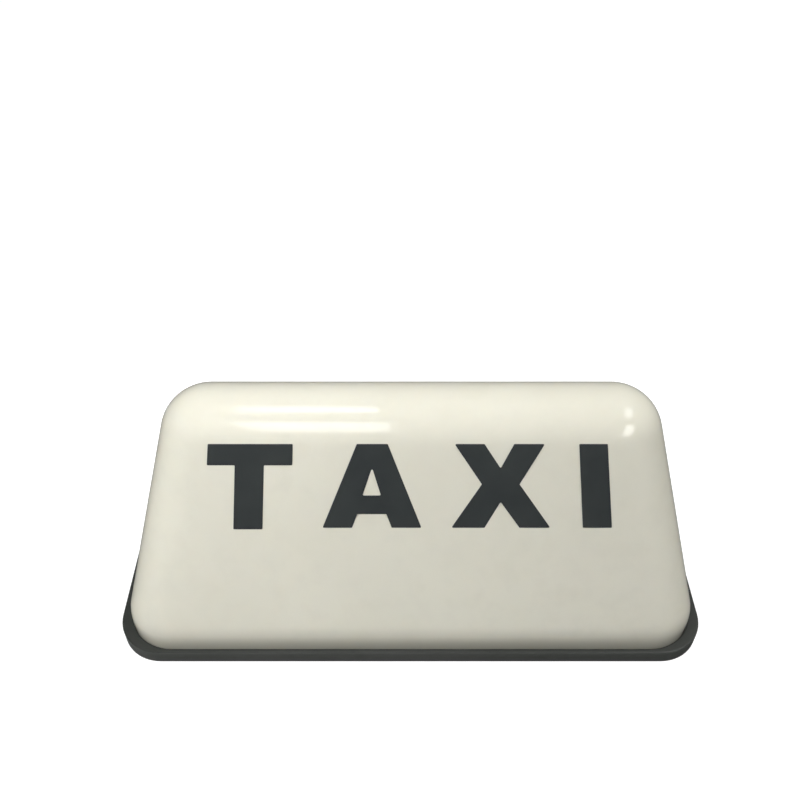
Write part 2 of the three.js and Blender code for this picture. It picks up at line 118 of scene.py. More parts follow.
class Finish:
    """A Principled material with a few procedural layers on top of it."""

    def __init__(self, name, **sockets):
        self.material = bpy.data.materials.new(name)
        self.material.use_nodes = True
        self.tree = self.material.node_tree
        self.shader = self.tree.nodes["Principled BSDF"]
        self.place = self.node("TexCoord").outputs["Object"]
        self.height = None
        set_inputs(self.shader, sockets)

    def node(self, kind, **values):
        node = self.tree.nodes.new("ShaderNode" + kind)
        set_inputs(node, values)
        return node

    def link(self, output, socket):
        self.tree.links.new(output, socket)

    def noise(self, scale, detail=3.0, roughness=0.5, stretch=(1, 1, 1)):
        mapping = self.node("Mapping", Scale=stretch)
        texture = self.node("TexNoise", Scale=scale, Detail=detail, Roughness=roughness)
        self.link(self.place, mapping.inputs["Vector"])
        self.link(mapping.outputs["Vector"], texture.inputs["Vector"])
        return texture.outputs["Fac"]

    def along(self, space, axis):
        """One axis of the piece's own coordinates ("Object", metres) or of its surface's "Normal"."""
        split = self.node("SeparateXYZ")
        self.link(self.place.node.outputs[space], split.inputs["Vector"])
        return split.outputs[axis]

    def ramp(self, factor, low, high, start=0.35, stop=0.65):
        node = self.node("ValToRGB")
        node.color_ramp.elements[0].position = start
        node.color_ramp.elements[1].position = stop
        node.color_ramp.elements[0].color = low
        node.color_ramp.elements[1].color = high
        self.link(factor, node.inputs["Fac"])
        return node.outputs["Color"]

    def mix(self, factor, first, second):
        node = self.node("Mix")
        node.data_type = "RGBA"
        self.link(factor, node.inputs["Factor"])
        for colour, socket in ((first, node.inputs["A"]), (second, node.inputs["B"])):
            if isinstance(colour, tuple):
                socket.default_value = colour
            else:
                self.link(colour, socket)
        return node.outputs["Result"]

    def colour(self, output):
        self.link(output, self.shader.inputs["Base Color"])

    def range(self, factor, low, high, start=0.3, stop=0.7):
        node = self.node("MapRange", From_Min=start, From_Max=stop, To_Min=low, To_Max=high)
        self.link(factor, node.inputs["Value"])
        return node.outputs["Result"]

    def gloss(self, factor, low, high):
        self.link(self.range(factor, low, high), self.shader.inputs["Roughness"])

    def bump(self, factor, distance, strength=1.0):
        """Adds a bump layer: distance is its height in millimetres."""
        node = self.node("Bump", Strength=strength, Distance=distance * MM)
        self.link(factor, node.inputs["Height"])
        if self.height is not None:
            self.link(self.height, node.inputs["Normal"])
        self.height = node.outputs["Normal"]
        self.link(self.height, self.shader.inputs["Normal"])


def opal_plastic():
    """Glossy opal, darker low down: painted shade where the tray's black lip stands close behind the thin
    wall.
    """
    finish = Finish("opal_plastic", IOR=1.49, Subsurface_Weight=0.12, Subsurface_Scale=0.004)
    finish.shader.inputs["Subsurface Radius"].default_value = (1.0, 0.85, 0.6)
    tone = finish.ramp(finish.noise(14, 2.0), srgb(235, 232, 216), srgb(238, 235, 219))
    cloud = finish.ramp(finish.noise(95, 4.0), (0, 0, 0, 1), (1, 1, 1, 1), 0.45, 0.8)
    # Painted shade: below about 18 mm the colour is mixed towards a darker grey, for the light the black lip
    # behind the wall takes away.
    lip = finish.range(finish.along("Object", "Z"), 0, 1, 0.009, 0.0185)
    finish.colour(finish.mix(lip, srgb(188, 186, 173), finish.mix(cloud, tone, srgb(233, 230, 214))))
    finish.gloss(finish.noise(60, 3.0), 0.01, 0.02)
    finish.bump(finish.noise(7, 0.0), 0.06, 1.0)
    finish.bump(finish.noise(160, 1.0), 0.0012, 1.0)
    return finish.material


def letter_film():
    finish = Finish("letter_film", IOR=1.45)
    finish.colour(finish.ramp(finish.noise(45, 3.0), srgb(54, 58, 59), srgb(60, 64, 64)))
    finish.gloss(finish.noise(300, 3.0), 0.34, 0.46)
    finish.bump(finish.noise(1500, 2.0), 0.01, 0.4)
    return finish.material


def tray_plastic():
    """Moulded black plastic, with painted light: its upright faces are coloured paler than its level faces,
    for how the light falls on them.
    """
    finish = Finish("tray_plastic", IOR=1.48)
    flow = finish.noise(16, 4.0, 0.55, (1, 3, 1))
    level = finish.ramp(flow, srgb(52, 55, 51), srgb(60, 62, 59))
    # Painted light: a paler copy of the black for upright faces and a darker one for level faces, mixed by
    # how steep the face is.
    upright = finish.ramp(flow, srgb(92, 95, 91), srgb(100, 102, 99))
    painted_light_mask = finish.node("Math")
    painted_light_mask.operation = "ABSOLUTE"
    finish.link(finish.along("Normal", "Z"), painted_light_mask.inputs[0])
    finish.colour(finish.mix(finish.range(painted_light_mask.outputs["Value"], 0, 1, 0.25, 0.8), upright, level))
    finish.gloss(finish.noise(220, 4.0), 0.34, 0.5)
    finish.bump(finish.noise(2200, 3.0), 0.02, 0.5)
    return finish.material


def rubber(name, dark, light, roughness=(0.6, 0.8)):
    finish = Finish(name, IOR=1.45)
    finish.colour(finish.ramp(finish.noise(180, 4.0), dark, light))
    finish.gloss(finish.noise(700, 3.0), *roughness)
    finish.bump(finish.noise(1800, 3.0), 0.03, 0.6)
    return finish.material


def tape_foam():
    finish = Finish("tape_foam", Roughness=0.95)
    finish.colour(finish.ramp(finish.noise(1500, 4.0), srgb(58, 57, 55), srgb(84, 82, 79)))
    finish.bump(finish.noise(1900, 4.0), 0.12, 0.8)
    return finish.material


def liner_film():
    finish = Finish("liner_film", IOR=1.45)
    finish.colour(finish.ramp(finish.noise(22, 5.0, 0.65, (1, 2, 1)), srgb(108, 34, 36), srgb(132, 50, 49)))
    finish.gloss(finish.noise(140, 4.0), 0.26, 0.42)
    finish.bump(finish.noise(60, 2.0, 0.5, (1, 3, 1)), 0.12, 0.5)
    return finish.material


def brushed_metal(name, dark, light, stretch=(1, 30, 30)):
    finish = Finish(name, Metallic=1.0)
    grain = finish.noise(240, 4.0, 0.6, stretch)
    finish.colour(finish.ramp(grain, dark, light))
    finish.gloss(grain, 0.28, 0.45)
    finish.bump(grain, 0.01, 0.4)
    return finish.material


def moulded(name, dark, light, low=0.4, high=0.55):
    finish = Finish(name, IOR=1.48)
    finish.colour(finish.ramp(finish.noise(240, 3.0), dark, light))
    finish.gloss(finish.noise(500, 3.0), low, high)
    finish.bump(finish.noise(2600, 2.0), 0.01, 0.5)
    return finish.material


def printed_board(name, mask, trace):
    """Solder mask with straight copper tracks showing faintly through it."""
    finish = Finish(name, IOR=1.5)
    black, white = (0, 0, 0, 1), (1, 1, 1, 1)
    brick = finish.node("TexBrick", Scale=60, Mortar_Size=0.07, Color1=black, Color2=black, Mortar=white)
    finish.link(finish.place, brick.inputs["Vector"])
    tone = finish.mix(finish.noise(300), mask, tuple(0.88 * value for value in mask[:3]) + (1.0,))
    finish.colour(finish.mix(brick.outputs["Color"], tone, trace))
    finish.gloss(finish.noise(400), 0.3, 0.45)
    return finish.material


OPAL = opal_plastic()
FILM = letter_film()
TRAY = tray_plastic()
BLACK_RUBBER = rubber("black_rubber", srgb(24, 24, 24), srgb(34, 34, 33))
ORANGE = rubber("orange_silicone", srgb(170, 78, 28), srgb(186, 92, 36), (0.4, 0.55))
FOAM = tape_foam()
LINER = liner_film()
ALUMINIUM = brushed_metal("brushed_aluminium", srgb(176, 178, 180), srgb(196, 198, 200), (1, 1, 30))
ZINC = brushed_metal("zinc_plate", srgb(186, 186, 182), srgb(206, 205, 200), (8, 8, 8))
CAN = brushed_metal("can_metal", srgb(168, 171, 175), srgb(190, 192, 195), (6, 6, 1))
WHITE_BOARD = printed_board("white_board", srgb(232, 232, 226), srgb(214, 216, 208))
GREEN_BOARD = printed_board("green_board", srgb(34, 92, 58), srgb(58, 122, 80))
PACKAGE = moulded("led_package", srgb(226, 226, 220), srgb(236, 236, 230))
PHOSPHOR = moulded("led_phosphor", srgb(222, 196, 78), srgb(232, 208, 96), 0.25, 0.35)
CHIP = moulded("chip_black", srgb(24, 25, 27), srgb(34, 35, 37))
TERMINAL = moulded("terminal_blue", srgb(42, 88, 156), srgb(52, 100, 170))
RED_WIRE = moulded("red_wire", srgb(158, 30, 30), srgb(176, 38, 36), 0.3, 0.42)
BLACK_WIRE = moulded("black_wire", srgb(24, 24, 25), srgb(34, 34, 35), 0.3, 0.42)
SOLDER = brushed_metal("solder", srgb(196, 196, 194), srgb(214, 214, 212), (4, 4, 4))


# ---- Mesh helpers --------------------------------------------------------------------------------------


def build(name, bm, materials, sharp=38):
    """Turns a bmesh in millimetres into an object in metres, smooth but for edges above that angle."""
    bmesh.ops.remove_doubles(bm, verts=bm.verts, dist=1e-4)
    bmesh.ops.dissolve_degenerate(bm, edges=bm.edges, dist=1e-4)
    bmesh.ops.recalc_face_normals(bm, faces=bm.faces)
    bmesh.ops.scale(bm, verts=bm.verts, vec=(MM, MM, MM))
    mesh = bpy.data.meshes.new(name)
    bm.to_mesh(mesh)
    bm.free()
    mesh.polygons.foreach_set("use_smooth", [True] * len(mesh.polygons))
    mesh.set_sharp_from_angle(angle=math.radians(sharp))
    for material in materials:
        mesh.materials.append(material)
    thing = bpy.data.objects.new(name, mesh)
    bpy.context.scene.collection.objects.link(thing)
    return thing


def place(thing, body, slot, *nodes):
    """The piece rides on a body and stands for CAD nodes. The slot is not used."""
    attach(thing, body)
    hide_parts(*nodes)


def bridge(bm, lower, upper):
    """Quads between two closed rows of equally many vertices."""
    for index in range(len(lower)):
        after = (index + 1) % len(lower)
        bm.faces.new((lower[index], lower[after], upper[after], upper[index]))


def loft(bm, rings, closed=False):
    """Quads between rings of equally many points. Closed also joins the last ring to the first."""
    rows = [[bm.verts.new(point) for point in ring] for ring in rings]
    for lower, upper in zip(rows, rows[1:]):
        bridge(bm, lower, upper)
    if closed:
        bridge(bm, rows[-1], rows[0])
    return rows


def corner_arc(before, point, after, radius, steps):
    """The points that round one corner of an outline."""
    corner = Vector(point)
    inwards = (Vector(before) - corner).normalized()
    outwards = (Vector(after) - corner).normalized()
    half = inwards.angle(outwards) / 2
    if radius <= 0 or half > QUARTER - 0.01:
        return [corner]
    centre = corner + (inwards + outwards).normalized() * radius / math.sin(half)
    reach = radius / math.tan(half)
    start = corner + inwards * reach - centre
    turn = start.angle_signed(corner + outwards * reach - centre)
    return [centre + Matrix.Rotation(-turn * step / steps, 2) @ start for step in range(steps + 1)]


def filleted(points, steps=4):
    """An open outline of (across, up, radius) with an arc of that radius at each inner point."""
    result = [Vector(points[0][:2])]
    for before, point, after in zip(points, points[1:], points[2:]):
        result += corner_arc(before[:2], point[:2], after[:2], point[2], steps)
    return result + [Vector(points[-1][:2])]


def rounded_loop(points, radius, steps=3):
    """A closed outline with every corner rounded."""
    around = zip(points[-1:] + points[:-1], points, points[1:] + points[:1])
    return [spot for corner in around for spot in corner_arc(*corner, radius, steps)]


def block(bm, low, high):
    """A box between two corners."""
    low, high = Vector(low), Vector(high)
    made = bmesh.ops.create_cube(bm, size=1)["verts"]
    for vertex in made:
        vertex.co = (low + high) / 2 + Vector(part * span for part, span in zip(vertex.co, high - low))
    return made


def soft_block(bm, low, high, radius, segments=2):
    """A box with its edges rounded."""
    made = block(bm, low, high)
    edges = list({edge for vertex in made for edge in vertex.link_edges})
    bmesh.ops.bevel(bm, geom=edges, offset=radius, segments=segments, profile=0.5, affect="EDGES")


def circle(radius, height, sides):
    angles = [2 * math.pi * side / sides for side in range(sides)]
    return [Vector((radius * math.cos(angle), radius * math.sin(angle), height)) for angle in angles]


def turned(bm, outline, centre=(0, 0, 0), sides=32, axis="Z"):
    """Spins (radius, height) points round an axis through the centre. Ends that lie on the axis close."""
    spin = {"Z": Matrix.Identity(3), "Y": Matrix.Rotation(-QUARTER, 3, "X")}[axis]
    rings = [circle(radius, height, sides) for radius, height in outline]
    loft(bm, [[Vector(centre) + spin @ point for point in ring] for ring in rings])


def boolean(thing, cutters, operation):
    """Joins the cutters to the piece, or cuts them out of it, and keeps the result as its mesh."""
    for cutter in cutters:
        modifier = thing.modifiers.new("cut", "BOOLEAN")
        modifier.operation = operation
        modifier.solver = "EXACT"
        modifier.object = cutter
        graph = bpy.context.evaluated_depsgraph_get()
        result = bpy.data.meshes.new_from_object(thing.evaluated_get(graph))
        thing.modifiers.clear()
        thing.data = result
        bpy.data.objects.remove(cutter)


def smooth_again(thing, sharp=38):
    thing.data.polygons.foreach_set("use_smooth", [True] * len(thing.data.polygons))
    thing.data.set_sharp_from_angle(angle=math.radians(sharp))


def bar(name, low, high):
    """A box to cut with."""
    bm = bmesh.new()
    block(bm, low, high)
    return build(name, bm, [])


def rod(name, radius, x, y, low, high, sides=48):
    """An upright cylinder to join or to cut with."""
    bm = bmesh.new()
    turned(bm, [(0, low), (radius, low), (radius, high), (0, high)], (x, y, 0), sides)
    return build(name, bm, [])


# ---- Rings round the sign ------------------------------------------------------------------------------


def blend_between(first, second, part):
    return first + (second - first) * part


def stations(corner_steps=14, long_steps=36, short_steps=12):
    """Points round the sign: (corner side x, corner side y, azimuth). Along the straights a side runs from
    -1 to 1."""
    result = []
    for corner, (side_x, side_y) in enumerate(CORNERS):
        for step in range(corner_steps + 1):
            result.append((side_x, side_y, (corner + step / corner_steps) * QUARTER))
        next_x, next_y = CORNERS[(corner + 1) % 4]
        steps = long_steps if next_x != side_x else short_steps
        for step in range(1, steps):
            x = blend_between(side_x, next_x, step / steps)
            y = blend_between(side_y, next_y, step / steps)
            result.append((x, y, (corner + 1) * QUARTER))
    return result


ROUND = stations()


def outward(azimuth, elevation=0.0):
    flat = math.cos(elevation)
    return Vector((flat * math.cos(azimuth), flat * math.sin(azimuth), math.sin(elevation)))


def rim_ring(inset, height):
    """A ring at that distance inside the rim's outer wall."""
    radius = RIM_CORNER - inset
    return [Vector((x * RIM_X, y * RIM_Y, height)) + radius * outward(azimuth) for x, y, azimuth in ROUND]


def skirt_ring(grow, height):
    """A ring at that distance outside the dome's skirt."""
    radius = SHOULDER_RADIUS + grow
    return [
        Vector((x * SHOULDER_X, y * SHOULDER_Y, height)) + radius * outward(azimuth)
        for x, y, azimuth in ROUND
    ]


def face_elevation(azimuth):
    """How far the dome's sloping face looks up, where it faces that azimuth."""
    run = (SHOULDER_X - RIDGE_HALF) * abs(math.cos(azimuth)) + SHOULDER_Y * abs(math.sin(azimuth))
    rise = RIDGE_Z - SHOULDER_Z
    return math.atan2(run, rise) - math.asin((RIDGE_RADIUS - SHOULDER_RADIUS) / math.hypot(run, rise))


SHOULDER_STEPS = 10
FACE_STEPS = 12
RIDGE_STEPS = 16


def dome_rings(grow, bottom):
    """Rings from the dome's lower edge over the shoulder, the sloping faces and the ridge's curve."""
    low_radius = SHOULDER_RADIUS + grow
    high_radius = RIDGE_RADIUS + grow
    columns = []
    for x, y, azimuth in ROUND:
        shoulder = Vector((x * SHOULDER_X, y * SHOULDER_Y, SHOULDER_Z))
        ridge = Vector((x * RIDGE_HALF, 0, RIDGE_Z))
        tilt = face_elevation(azimuth)
        side = shoulder + outward(azimuth) * low_radius
        column = [Vector((side.x, side.y, bottom)), Vector((side.x, side.y, (bottom + SHOULDER_Z) / 2))]
        for step in range(SHOULDER_STEPS + 1):
            column.append(shoulder + low_radius * outward(azimuth, tilt * step / SHOULDER_STEPS))
        face_low = column[-1]
        face_high = ridge + high_radius * outward(azimuth, tilt)
        for step in range(1, FACE_STEPS + 1):
            column.append(blend_between(face_low, face_high, step / FACE_STEPS))
        for step in range(1, RIDGE_STEPS + 1):
            elevation = blend_between(tilt, QUARTER, step / RIDGE_STEPS)
            column.append(ridge + high_radius * outward(azimuth, elevation))
        columns.append(column)
    return [list(ring) for ring in zip(*columns)]


# ---- Dome and letters ----------------------------------------------------------------------------------


def make_dome():
    bottom = DOME_LOW.z
    chamfer = 0.4
    outer = dome_rings(0, bottom + chamfer)
    inner = dome_rings(-WALL, bottom + chamfer)
    edge = [skirt_ring(-chamfer, bottom), skirt_ring(chamfer - WALL, bottom)]
    bm = bmesh.new()
    loft(bm, outer[::-1] + edge + inner)
    place(build("dome_shell", bm, [OPAL], 30), "dome_cover", "opal_dome", "dome")


CAP = 42.4
FOOT = 53.25
FAN = 0.042
FILM_LIFT = 0.03
FILM_THICKNESS = 0.22
CUT_RADIUS = 0.45
# The film is cut across at these distances up the face, so that its top can follow the ridge's curve
BEND_CUTS = (92.5, 93.2, 93.8, 94.2, 94.6, 95.0, 95.4)

LETTERS = {
    "t": (
        -75.9,
        [
            (-19.7, CAP), (20.1, CAP), (20.1, 31.9), (6.9, 31.9),
            (7.1, -0.8), (-6.3, -0.8), (-6.7, 31.9), (-19.7, 31.9),
        ],
        [],
    ),
    "a": (
        -18.6,
        [(-7.3, CAP), (7.2, CAP), (23.1, 0), (9.4, 0), (6.9, 7.1), (-6.6, 7.1), (-8.9, 0), (-22.5, 0)],
        [(0, 30.8), (-4.3, 16.6), (4.3, 16.6)],
    ),
    "x": (
        40.7,
        [
            (-20.8, CAP), (-6.8, CAP), (0.6, 30.3), (7.1, CAP), (21.4, CAP), (9.3, 22.3),
            (23.2, 0), (9, 0), (0.4, 13.4), (-7.1, 0), (-22.4, 0), (-8.2, 22.3),
        ],
        [],
    ),
    "i": (84.9, [(-6.7, CAP), (6.6, CAP), (7.4, 0), (-6, 0)], []),
}


def front_point(x, up, lift):
    """The point that lies that far up the front face, past its end round the ridge, and lifted off it."""
    tilt = face_elevation(-QUARTER)
    normal = outward(-QUARTER, tilt)
    foot = Vector((0, -SHOULDER_Y, SHOULDER_Z)) + SHOULDER_RADIUS * normal
    head = Vector((0, 0, RIDGE_Z)) + RIDGE_RADIUS * normal
    length = (head - foot).length
    if up <= length:
        return foot + (head - foot) * (up / length) + normal * lift + Vector((x, 0, 0))
    turn = tilt + (up - length) / RIDGE_RADIUS
    return Vector((x, 0, RIDGE_Z)) + (RIDGE_RADIUS + lift) * outward(-QUARTER, turn)


def make_letter(key, side):
    middle, outline, counter = LETTERS[key]

    def fanned(points):
        loop = [((middle + x) * (1 + FAN * (1 - y / CAP)), FOOT + y) for x, y in points]
        return [spot.to_3d() for spot in rounded_loop(loop, CUT_RADIUS)]

    loops = [fanned(outline)] + ([fanned(counter)] if counter else [])
    bm = bmesh.new()
    flat = [bm.verts.new(point) for loop in loops for point in loop]
    for triangle in geometry.tessellate_polygon(loops):
        bm.faces.new([flat[index] for index in triangle])
    bmesh.ops.dissolve_limit(bm, angle_limit=0.01, verts=bm.verts, edges=bm.edges)
    for up in BEND_CUTS:
        everything = bm.verts[:] + bm.edges[:] + bm.faces[:]
        bmesh.ops.bisect_plane(bm, geom=everything, plane_co=(0, up, 0), plane_no=(0, 1, 0))
    top = bmesh.ops.extrude_face_region(bm, geom=bm.faces[:])
    for item in top["geom"]:
        if isinstance(item, bmesh.types.BMVert):
            item.co.z = FILM_THICKNESS
    bm.normal_update()
    folded = [edge for edge in bm.edges if edge.calc_face_angle(0) > 1]
    upper = [edge for edge in folded if min(vertex.co.z for vertex in edge.verts) > 0.1]
    bmesh.ops.bevel(bm, geom=upper, offset=0.07, segments=2, profile=0.5, affect="EDGES")
    for vertex in bm.verts:
        x, up, height = vertex.co
        vertex.co = front_point(x, up, FILM_LIFT + height)
        if side == "rear":
            vertex.co.x, vertex.co.y = -vertex.co.x, -vertex.co.y
    thing = build(f"film_{key}_{side}", bm, [FILM], 20)
    place(thing, "dome_cover", "letter_film", f"letter_{key}_{side}")


# ---- Base tray -----------------------------------------------------------------------------------------

HOLE_X = 82.0
HOLE_Y = 36.5
HOLES = [(x, y) for y in (-HOLE_Y, HOLE_Y) for x in (-HOLE_X, HOLE_X)]
HOLE_RADIUS = 4.3
BOSS_TOP = 9.0
BOSS_RADIUS = 3.6
SHANK_RADIUS = 1.35
THREAD_GAP = 0.15
GROMMET_BORE = 2.2
GROMMET_NECK = 3.6


def middle_of(node):
    low, high = node_box(node)
    return (low + high) / 2


SCREWS = [f"bracket_screw_{index}" for index in range(1, 5)] + ["driver_screw_1", "driver_screw_2"]
GROMMET = middle_of("cable_grommet")
NOTCH_HALF_WIDTH = 3.5
NOTCH_TOP = 3.6


def underside_height(x, y):
    """Height of the tray's underside inside the rim band: a flat centre with slopes round it."""
    along = (abs(x) - PLATEAU_HALF[0]) / (SLOPE_HALF[0] - PLATEAU_HALF[0])
    across = (abs(y) - PLATEAU_HALF[1]) / (SLOPE_HALF[1] - PLATEAU_HALF[1])
    part = min(max(along, across, 0.0), 1.0)
    return blend_between(PLATEAU_Z, CHANNEL_Z, part)


def cut_along(bm, faces, point, normal):
    """Cuts the given faces, and what they have been cut into, by a plane."""
    edges = {edge for face in faces for edge in face.edges}
    corners = {vertex for face in faces for vertex in face.verts}
    geom = [*faces, *edges, *corners]
    result = bmesh.ops.bisect_plane(bm, geom=geom, plane_co=point, plane_no=normal)
    return [item for item in result["geom"] if isinstance(item, bmesh.types.BMFace)]


def make_tray():
    lip_outer = -WALL - GAP
    lip_inner = lip_outer - LIP_THICKNESS
    inside = filleted([
        (lip_inner - 1.5, FLOOR_TOP, 0),
        (lip_inner, FLOOR_TOP, 0.8),
        (lip_inner, LIP_TOP, 0.5),
        (lip_outer, LIP_TOP, 0.5),
        (lip_outer, FLOOR_TOP, 0.25),
        (GAP, FLOOR_TOP, 0.25),
        (GAP, RIM_TOP, 0.35),
        (GAP + 0.6, RIM_TOP, 0),
    ])
    outside = filleted([
        (1.2, RIM_TOP, 0),
        (0, RIM_TOP, 0.7),
        (0, RIM_BOTTOM, 0.4),
        (RIM_BAND, RIM_BOTTOM, 0.5),
        (RIM_BAND, CHANNEL_Z, 0.6),
        (RIM_BAND + 1, CHANNEL_Z, 0),
    ])
    bm = bmesh.new()
    rings = [skirt_ring(grow, height) for grow, height in inside]
    rows = loft(bm, rings + [rim_ring(inset, height) for inset, height in outside])
    bm.faces.new(rows[0])
    under = [bm.faces.new(rows[-1])]
    for normal, limits in zip((Vector((1, 0, 0)), Vector((0, 1, 0))), zip(PLATEAU_HALF, SLOPE_HALF)):
        for side in (-1, 1):
            for limit in limits:
                under = cut_along(bm, under, normal * side * limit, normal)
    for side_x, side_y in CORNERS:
        inner = Vector((side_x * PLATEAU_HALF[0], side_y * PLATEAU_HALF[1], 0))
        outer = Vector((side_x * SLOPE_HALF[0], side_y * SLOPE_HALF[1], 0))
        here = []
        for face in under:
            middle = face.calc_center_median()
            if middle.x * side_x > PLATEAU_HALF[0] and middle.y * side_y > PLATEAU_HALF[1]:
                here.append(face)
        rest = [face for face in under if face not in here]
        normal = (outer - inner).cross(Vector((0, 0, 1)))
        under = rest + cut_along(bm, here, inner, normal)
    for vertex in {vertex for face in under for vertex in face.verts}:
        vertex.co.z = underside_height(vertex.co.x, vertex.co.y)
    tray = build("tray_moulding", bm, [TRAY])

    posts = []
    pilots = []
    for name in SCREWS:
        spot = middle_of(name)
        posts.append(rod("post", BOSS_RADIUS, spot.x, spot.y, FLOOR_TOP - 0.5, BOSS_TOP))
        bore = SHANK_RADIUS + THREAD_GAP
        pilots.append(rod("pilot", bore, spot.x, spot.y, FLOOR_TOP - 0.6, BOSS_TOP + 1, 24))
    for x, y in HOLES:
        pilots.append(rod("hole", HOLE_RADIUS, x, y, 0, FLOOR_TOP + 1))
    pilots.append(rod("cable_hole", GROMMET_NECK + GAP, GROMMET.x, GROMMET.y, 0, FLOOR_TOP + 1))
    front, rear = GROMMET.y - NOTCH_HALF_WIDTH, GROMMET.y + NOTCH_HALF_WIDTH
    notch = bar("notch", (-HALF_LENGTH - 1, front, -1), (RIM_BAND + 1 - HALF_LENGTH, rear, NOTCH_TOP))
    pilots.append(notch)
    boolean(tray, posts, "UNION")
    boolean(tray, pilots, "DIFFERENCE")
    smooth_again(tray)
    for face in tray.data.polygons:
        middle = face.center / MM
        inside_band = abs(middle.x) < SLOPE_HALF[0] and abs(middle.y) < SLOPE_HALF[1]
        if inside_band and middle.z < CHANNEL_Z and face.normal.z < -0.9:
            face.use_smooth = False
    place(tray, "base", "black_tray", "base_tray")


def make_gasket():
    outer, inner = -0.02, 0.02 - WALL
    middle = (outer + inner) / 2
    section = filleted([
        (middle, GASKET_LOW.z, 0), (outer, GASKET_LOW.z, 0.3), (outer, GASKET_HIGH.z, 0.45),
        (inner, GASKET_HIGH.z, 0.45), (inner, GASKET_LOW.z, 0.3), (middle - 0.1, GASKET_LOW.z, 0),
    ])
    bm = bmesh.new()
    loft(bm, [skirt_ring(grow, height) for grow, height in section], closed=True)
    place(build("gasket_ring", bm, [BLACK_RUBBER]), "base", "black_rubber", "dome_gasket")


def make_plug(index):
    low, high = node_box(f"hole_plug_{index}")
    middle = (low + high) / 2
    stem = HOLE_RADIUS - GAP
    head = high.x - middle.x
    shelf = FLOOR_TOP + SEAT
    outline = filleted([
        (0, low.z + 0.25, 0), (stem * 0.45, low.z + 0.25, 0.3), (stem * 0.6, low.z, 0.4), (stem, low.z, 0.5),
        (stem, shelf, 0.2), (head, shelf, 0.2), (head, high.z, 0.6), (0, high.z, 0),
    ])
    bm = bmesh.new()
    turned(bm, outline, (middle.x, middle.y, 0), 48)
    place(build(f"blanking_plug_{index}", bm, [ORANGE]), "base", "orange_silicone", f"hole_plug_{index}")


def make_grommet():
    low, high = node_box("cable_grommet")
    flange = (high.x - low.x) / 2
    shelf = FLOOR_TOP + SEAT
    outline = filleted([
        (GROMMET_BORE, GROMMET.z, 0), (GROMMET_BORE, low.z, 0.4), (GROMMET_NECK, low.z, 0.4),
        (GROMMET_NECK, shelf, 0.1), (flange, shelf, 0.3), (flange, high.z, 0.5),
        (GROMMET_BORE, high.z, 0.5), (GROMMET_BORE, GROMMET.z + 0.01, 0),
    ])
    bm = bmesh.new()
    turned(bm, outline, (GROMMET.x, GROMMET.y, 0), 40)
    place(build("grommet_ring", bm, [BLACK_RUBBER]), "base", "black_rubber", "cable_grommet")


# ---- Tape ----------------------------------------------------------------------------------------------


LEFT_LEAN = 2.5
CLIP_DEPTH = 9
CLIP_REACH = 3.5
RIGHT_LEAN = 3


def tape_grid(low, high, columns=120, rows=18):
    """Plan points of the tape from its front edge to its rear edge. Both hand-cut ends lean, and the right
    end's front corner is clipped."""
    clip_y = low.y + CLIP_DEPTH
    grid = []
    levels = sorted([blend_between(low.y, high.y, row / rows) for row in range(rows + 1)] + [clip_y])
    for y in levels:
        part = (y - low.y) / (high.y - low.y)
        left = blend_between(low.x + LEFT_LEAN, low.x, part)
        bend = high.x - RIGHT_LEAN
        if y <= clip_y:
            right = blend_between(bend - CLIP_REACH, bend, (y - low.y) / CLIP_DEPTH)
        else:
            right = blend_between(bend, high.x, (y - clip_y) / (high.y - clip_y))
        grid.append([(blend_between(left, right, column / columns), y) for column in range(columns + 1)])
    return grid


def make_tape(name, node, material, slot, lower, upper):
    """A sheet between two height functions of (x, y)."""
    low, high = node_box(node)
    grid = tape_grid(low, high)
    bm = bmesh.new()
    borders = []
    for height in (lower, upper):
        rows = [[bm.verts.new((x, y, height(x, y))) for x, y in row] for row in grid]
        for first, second in zip(rows, rows[1:]):
            for index in range(len(first) - 1):
                bm.faces.new((first[index], first[index + 1], second[index + 1], second[index]))
        right, left = [row[-1] for row in rows[1:]], [row[0] for row in rows[-2:0:-1]]
        borders.append(rows[0] + right + rows[-1][-2::-1] + left)
    bridge(bm, *borders)
    place(build(name, bm, [material]), "base", slot, node)


def liner_ripple(x, y):
    """Small folds where the liner has lifted, in millimetres."""
    crease = noise.noise(Vector((x * 0.05, y * 0.16, 3.0)))
    return 0.06 * (crease + 1) / 2


# ---- Light bar -----------------------------------------------------------------------------------------


SHEET = 1.5
FOOT_HALF = 5
WINDOW_MIDDLES = (-45, 0, 45)
WINDOW_HALF = 15
WINDOW_HIGH = 36
WINDOW_LOW = 18


